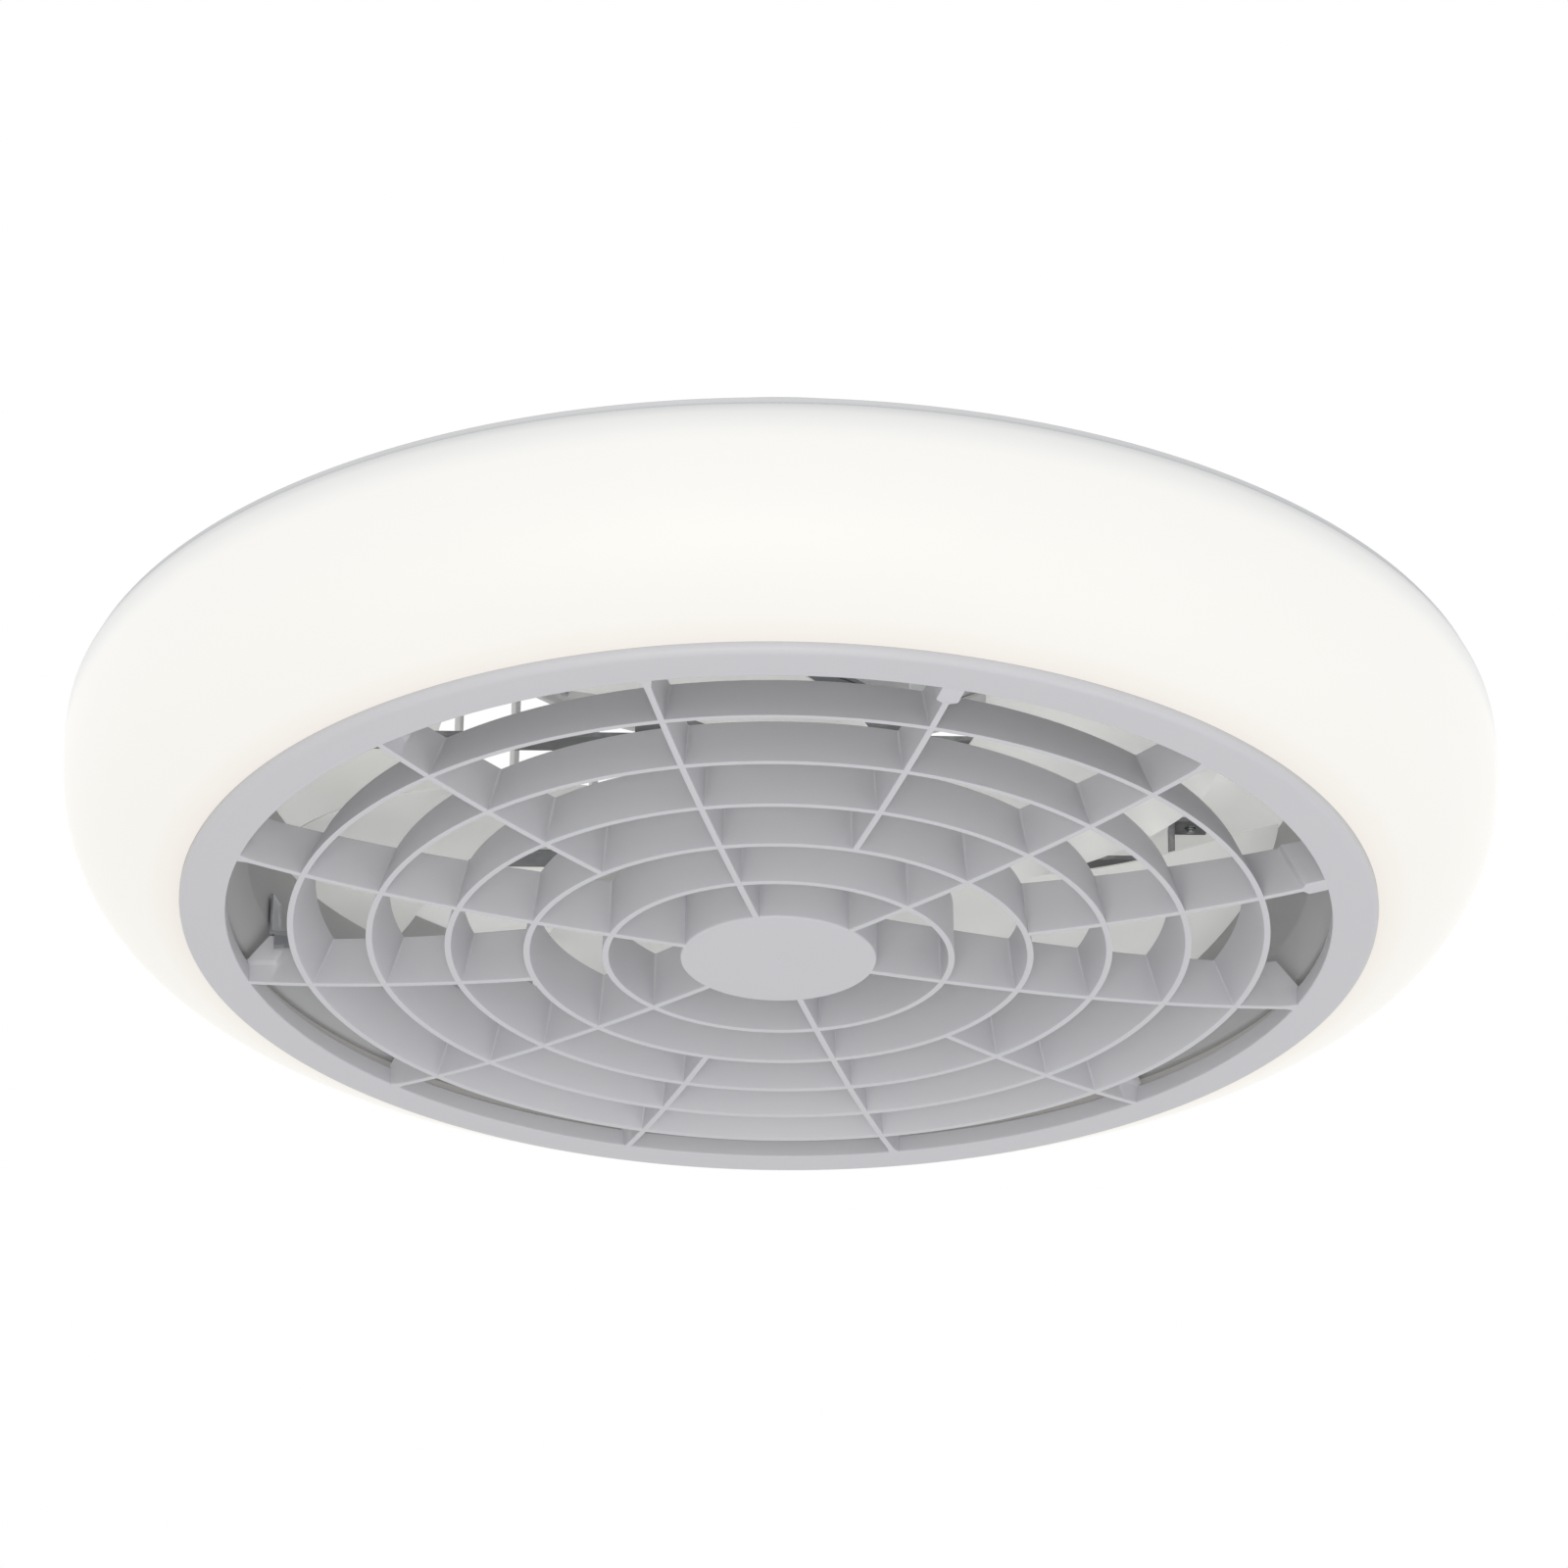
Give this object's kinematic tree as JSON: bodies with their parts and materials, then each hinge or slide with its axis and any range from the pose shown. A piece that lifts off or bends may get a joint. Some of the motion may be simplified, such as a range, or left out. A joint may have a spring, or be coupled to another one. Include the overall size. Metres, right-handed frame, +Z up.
{
  "type": "enclosed ceiling fan with ring light",
  "caption": "Low ceiling fan inside a lit opal ring shade, with a dished round guard grille below and an open air intake above.",
  "frame": {"origin": "middle of the ceiling bracket's top face, where it meets the ceiling", "axes": "+Z up along the fan's axis, the grille facing down along -Z; X along the ceiling bracket"},
  "size_m": [0.5496, 0.5496, 0.1831],
  "materials": {
    "opal_acrylic": "satin opal, lit from inside",
    "grey_plastic": "fine satin moulding",
    "pale_blade": "smooth moulded",
    "white_plastic": "satin",
    "white_paint": "powder coat",
    "zinc_steel": "zinc plated",
    "dark_steel": "grey paint",
    "motor_paint": "grey paint",
    "copper_steel": "laminated steel with enamelled copper",
    "magnet": "ferrite",
    "board": "white solder mask",
    "box_plastic": "moulded",
    "rubber": "matt"
  },
  "bodies": {
    "housing": {"ceiling_bracket": "zinc_steel", "canopy_shell": "white_paint", "canopy_screw_1": "zinc_steel", "canopy_screw_2": "zinc_steel", "top_deck": "white_paint", "deck_screw_1": "zinc_steel", "deck_screw_2": "zinc_steel", "deck_screw_3": "zinc_steel", "deck_screw_4": "zinc_steel", "intake_cage": "white_plastic", "cage_screw_1": "zinc_steel", "cage_screw_2": "zinc_steel", "cage_screw_3": "zinc_steel", "cage_screw_4": "zinc_steel", "chassis_pan": "white_paint", "duct_screw_1": "zinc_steel", "duct_screw_2": "zinc_steel", "duct_screw_3": "zinc_steel", "air_duct": "white_plastic", "led_board": "board", "light_shade": "opal_acrylic", "shade_screw_1": "zinc_steel", "shade_screw_2": "zinc_steel", "shade_screw_3": "zinc_steel", "cradle_strap_front": "dark_steel", "cradle_strap_rear": "dark_steel", "cradle_screw_1": "zinc_steel", "cradle_screw_2": "zinc_steel", "cradle_screw_3": "zinc_steel", "cradle_screw_4": "zinc_steel", "motor_plate": "dark_steel", "plate_screw_1": "zinc_steel", "plate_screw_2": "zinc_steel", "plate_screw_3": "zinc_steel", "plate_screw_4": "zinc_steel", "motor_can": "motor_paint", "motor_screw_1": "zinc_steel", "motor_screw_2": "zinc_steel", "motor_screw_3": "zinc_steel", "motor_screw_4": "zinc_steel", "stator_core": "copper_steel", "motor_end_cap": "motor_paint", "lower_bearing": "zinc_steel", "upper_bearing": "zinc_steel", "led_driver": "box_plastic", "fan_controller": "box_plastic", "terminal_block": "white_plastic", "cable_grommet": "rubber", "motor_lead": "rubber", "lamp_lead": "rubber"},
    "rotor": {"motor_shaft": "zinc_steel", "magnet_rotor": "magnet", "impeller": "pale_blade", "hub_washer": "zinc_steel", "spinner_nut": "zinc_steel"},
    "guard": {"grille": "grey_plastic", "grille_clip_1": "zinc_steel", "grille_clip_2": "zinc_steel", "grille_clip_3": "zinc_steel"}
  },
  "joints": [
    {"name": "fan_spin", "type": "hinge", "parent": "housing", "child": "rotor", "pos_m": [0, 0, -0.1], "axis": [0, 0, 1], "continuous": true},
    {"name": "grille_pull", "type": "slide", "parent": "housing", "child": "guard", "axis": [0, 0, -1], "range_m": [0, 0.03]}
  ]
}
